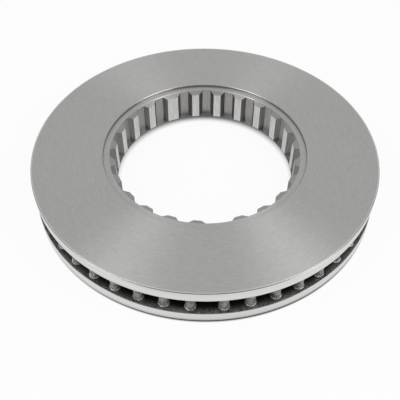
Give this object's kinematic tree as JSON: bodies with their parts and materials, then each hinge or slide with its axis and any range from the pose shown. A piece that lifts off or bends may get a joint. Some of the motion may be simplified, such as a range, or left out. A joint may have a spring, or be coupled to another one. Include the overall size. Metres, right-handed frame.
{
  "type": "brake disc",
  "caption": "Flat ventilated brake disc with round vent pillars and an inner ring of axial teeth, open at the top, that slide over a wheel hub's splines.",
  "frame": {"origin": "on the disc's axis, in the plane of the lower friction face", "axes": "+Z along the disc's axis, from the lower friction face towards the upper one, where the teeth are open"},
  "size_m": [0.37, 0.37, 0.045],
  "materials": {
    "machined_iron": "turned bright on the friction faces, rim and teeth, as cast and dark in the vent"
  },
  "bodies": {
    "root": {"brake_disc": "machined_iron"}
  },
  "joints": []
}
